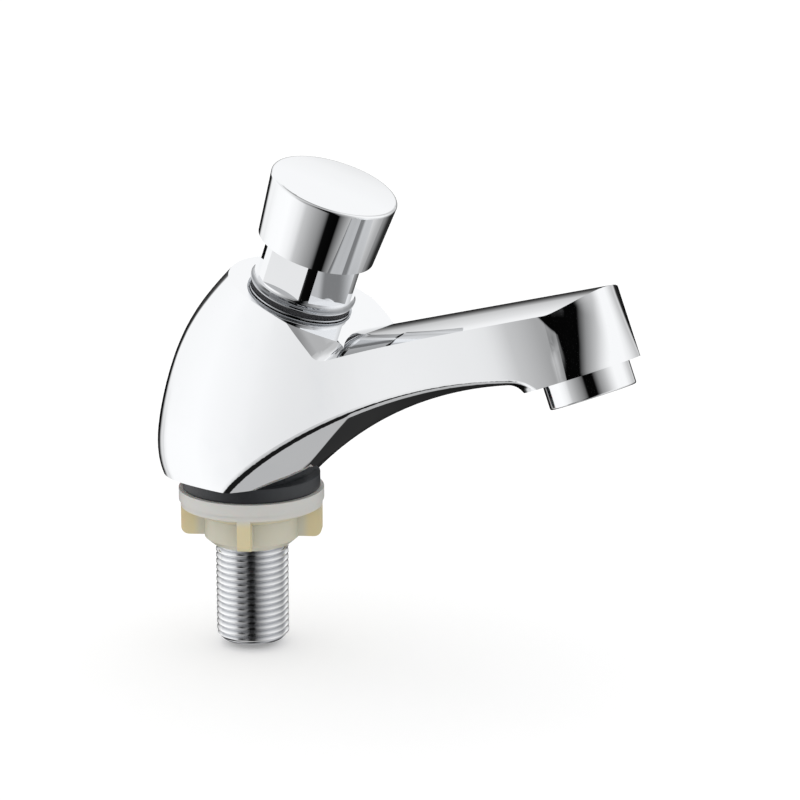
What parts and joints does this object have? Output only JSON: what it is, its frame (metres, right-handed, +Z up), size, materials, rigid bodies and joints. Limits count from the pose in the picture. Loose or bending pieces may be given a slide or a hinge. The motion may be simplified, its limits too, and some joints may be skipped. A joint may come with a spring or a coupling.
{
  "type": "self-closing basin tap",
  "caption": "Chromed pillar tap for a wash basin: a push button opens it and a sprung plunger closes it again; aerated spout.",
  "frame": {"origin": "on the inlet shank's axis, at the underside of the base gasket, where the tap sits on the basin's deck", "axes": "+X along the spout, forward; +Y to the left; +Z up, along the shank"},
  "size_m": [0.1546, 0.0454, 0.1421],
  "materials": {
    "chrome": "polished chrome plate on cast metal",
    "gasket_rubber": "matt moulded rubber",
    "ivory_plastic": "moulded ivory plastic, slightly translucent",
    "fibre": "pressed fibre",
    "brass": "turned brass",
    "stainless": "turned stainless steel",
    "spring_steel": "drawn stainless wire",
    "white_plastic": "moulded acetal",
    "black_rubber": "nitrile rubber"
  },
  "bodies": {
    "tap": {"tap_body": "chrome", "inlet_shank": "chrome", "shank_o_ring": "black_rubber", "base_gasket": "gasket_rubber", "bonnet": "chrome", "bonnet_washer": "fibre", "stem_o_ring": "black_rubber", "return_spring": "spring_steel", "spring_seat": "white_plastic", "spring_seat_circlip": "stainless", "valve_seat": "brass", "valve_seat_o_ring": "black_rubber"},
    "plunger": {"piston": "white_plastic", "piston_lip_seal": "black_rubber"},
    "button": {"push_cap": "chrome", "cap_lock_nut": "brass", "stem": "stainless", "piston_circlip": "stainless", "valve_washer": "black_rubber", "valve_holder": "brass", "valve_screw": "stainless"},
    "aerator_insert": {"aerator_core": "white_plastic", "aerator_mesh": "stainless", "aerator_washer": "black_rubber"},
    "aerator_ring": {"aerator_housing": "chrome"},
    "nut": {"backnut": "ivory_plastic"}
  },
  "joints": [
    {"name": "push", "type": "slide", "parent": "tap", "child": "plunger", "axis": [-0.3567, 0, -0.9342], "range_m": [0, 0.0055], "stiffness_N_per_m": 1200, "springref_m": -0.008, "deforming": ["return_spring"]},
    {"name": "button_turn", "type": "hinge", "parent": "plunger", "child": "button", "pos_m": [0.0187, 0, 0.0592], "axis": [0.3567, 0, 0.9342], "continuous": true},
    {"name": "aerator_out", "type": "slide", "parent": "tap", "child": "aerator_insert", "axis": [0.3811, 0, -0.9245], "range_m": [0, 0.006]},
    {"name": "aerator_turn", "type": "hinge", "parent": "aerator_insert", "child": "aerator_ring", "pos_m": [0.1132, 0, 0.0496], "axis": [0.3811, 0, -0.9245], "range_deg": [0, 2160]},
    {"name": "backnut_turn", "type": "hinge", "parent": "tap", "child": "nut", "pos_m": [0, 0, 0], "axis": [0, 0, 1], "continuous": true}
  ],
  "couplings": [
    {"joint": "aerator_turn", "follows": "aerator_out", "rad_per_m": 6283.2}
  ]
}
